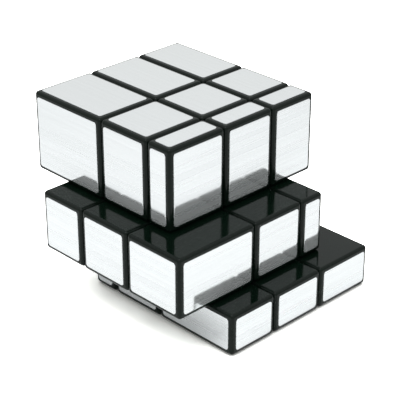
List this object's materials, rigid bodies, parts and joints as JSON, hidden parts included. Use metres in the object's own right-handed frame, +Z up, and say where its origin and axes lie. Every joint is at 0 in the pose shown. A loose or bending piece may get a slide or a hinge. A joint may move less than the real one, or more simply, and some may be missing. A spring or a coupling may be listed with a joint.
{
  "type": "twisty puzzle cube",
  "caption": "Stepped twisty puzzle cube: black blocks of unequal thickness with silver foil faces, layers turned about the upright axis.",
  "frame": {"origin": "point where the upright turning axis of the top and bottom layers meets the plane the puzzle rests on", "axes": "+Z up along the turning axis, -Y front (the thin side of the top layer), +X right; the core's centre lies on +Z"},
  "size_m": [0.0694, 0.0774, 0.0574],
  "materials": {
    "black_gloss_plastic": "glossy injection-moulded black with softened edges",
    "silver_foil": "brushed silver foil, fine straight grain",
    "black_inner_plastic": "satin moulded black on the hidden feet and hubs",
    "core_plastic": "satin moulded black core",
    "zinc_steel": "zinc-plated screws and washers",
    "spring_steel": "drawn spring wire"
  },
  "bodies": {
    "core_and_middle_slice": {"core": "core_plastic", "centre_screws": "zinc_steel", "centre_washers": "zinc_steel", "top_spring": "spring_steel", "bottom_spring": "spring_steel", "left_spring": "spring_steel", "front_spring": "spring_steel", "right_spring": "spring_steel", "back_spring": "spring_steel", "middle_front_left_edge_shell": "black_gloss_plastic", "middle_front_right_edge_shell": "black_gloss_plastic", "middle_back_left_edge_shell": "black_gloss_plastic", "middle_back_right_edge_shell": "black_gloss_plastic", "middle_edge_bases": "black_inner_plastic", "middle_foils": "silver_foil"},
    "top_layer": {"top_front_edge_shell": "black_gloss_plastic", "top_left_edge_shell": "black_gloss_plastic", "top_right_edge_shell": "black_gloss_plastic", "top_back_edge_shell": "black_gloss_plastic", "top_front_left_corner_shell": "black_gloss_plastic", "top_front_right_corner_shell": "black_gloss_plastic", "top_back_left_corner_shell": "black_gloss_plastic", "top_back_right_corner_shell": "black_gloss_plastic", "top_edge_bases": "black_inner_plastic", "top_corner_bases": "black_inner_plastic", "top_foils": "silver_foil"},
    "bottom_layer": {"bottom_front_edge_shell": "black_gloss_plastic", "bottom_left_edge_shell": "black_gloss_plastic", "bottom_right_edge_shell": "black_gloss_plastic", "bottom_back_edge_shell": "black_gloss_plastic", "bottom_front_left_corner_shell": "black_gloss_plastic", "bottom_front_right_corner_shell": "black_gloss_plastic", "bottom_back_left_corner_shell": "black_gloss_plastic", "bottom_back_right_corner_shell": "black_gloss_plastic", "bottom_edge_bases": "black_inner_plastic", "bottom_corner_bases": "black_inner_plastic", "bottom_side_foils": "silver_foil", "bottom_face_foils": "silver_foil"},
    "top_centre": {"top_centre_base": "black_inner_plastic", "top_centre_cap": "black_gloss_plastic", "top_centre_foil": "silver_foil"},
    "bottom_centre": {"bottom_centre_base": "black_inner_plastic", "bottom_centre_cap": "black_gloss_plastic", "bottom_centre_foil": "silver_foil"},
    "left_centre": {"left_centre_base": "black_inner_plastic", "left_centre_cap": "black_gloss_plastic", "left_centre_foil": "silver_foil"},
    "front_centre": {"front_centre_base": "black_inner_plastic", "front_centre_cap": "black_gloss_plastic", "front_centre_foil": "silver_foil"},
    "right_centre": {"right_centre_base": "black_inner_plastic", "right_centre_cap": "black_gloss_plastic", "right_centre_foil": "silver_foil"},
    "back_centre": {"back_centre_base": "black_inner_plastic", "back_centre_cap": "black_gloss_plastic", "back_centre_foil": "silver_foil"}
  },
  "joints": [
    {"name": "top_layer_turn", "type": "hinge", "parent": "core_and_middle_slice", "child": "top_layer", "pos_m": [0, 0, 0.0227], "axis": [0, 0, 1], "continuous": true},
    {"name": "bottom_layer_turn", "type": "hinge", "parent": "core_and_middle_slice", "child": "bottom_layer", "pos_m": [0, 0, 0.0227], "axis": [0, 0, -1], "continuous": true},
    {"name": "top_centre_float", "type": "slide", "parent": "top_layer", "child": "top_centre", "axis": [0, 0, 1], "range_m": [0, 0.0006], "stiffness_N_per_m": 250, "springref_m": -0.0005, "deforming": ["top_spring"]},
    {"name": "bottom_centre_float", "type": "slide", "parent": "bottom_layer", "child": "bottom_centre", "axis": [0, 0, -1], "range_m": [0, 0.0006], "stiffness_N_per_m": 250, "springref_m": -0.0005, "deforming": ["bottom_spring"]},
    {"name": "left_centre_float", "type": "slide", "parent": "core_and_middle_slice", "child": "left_centre", "axis": [-1, 0, 0], "range_m": [0, 0.0006], "stiffness_N_per_m": 250, "springref_m": -0.0005, "deforming": ["left_spring"]},
    {"name": "front_centre_float", "type": "slide", "parent": "core_and_middle_slice", "child": "front_centre", "axis": [0, -1, 0], "range_m": [0, 0.0006], "stiffness_N_per_m": 250, "springref_m": -0.0005, "deforming": ["front_spring"]},
    {"name": "right_centre_float", "type": "slide", "parent": "core_and_middle_slice", "child": "right_centre", "axis": [1, 0, 0], "range_m": [0, 0.0006], "stiffness_N_per_m": 250, "springref_m": -0.0005, "deforming": ["right_spring"]},
    {"name": "back_centre_float", "type": "slide", "parent": "core_and_middle_slice", "child": "back_centre", "axis": [0, 1, 0], "range_m": [0, 0.0006], "stiffness_N_per_m": 250, "springref_m": -0.0005, "deforming": ["back_spring"]}
  ]
}
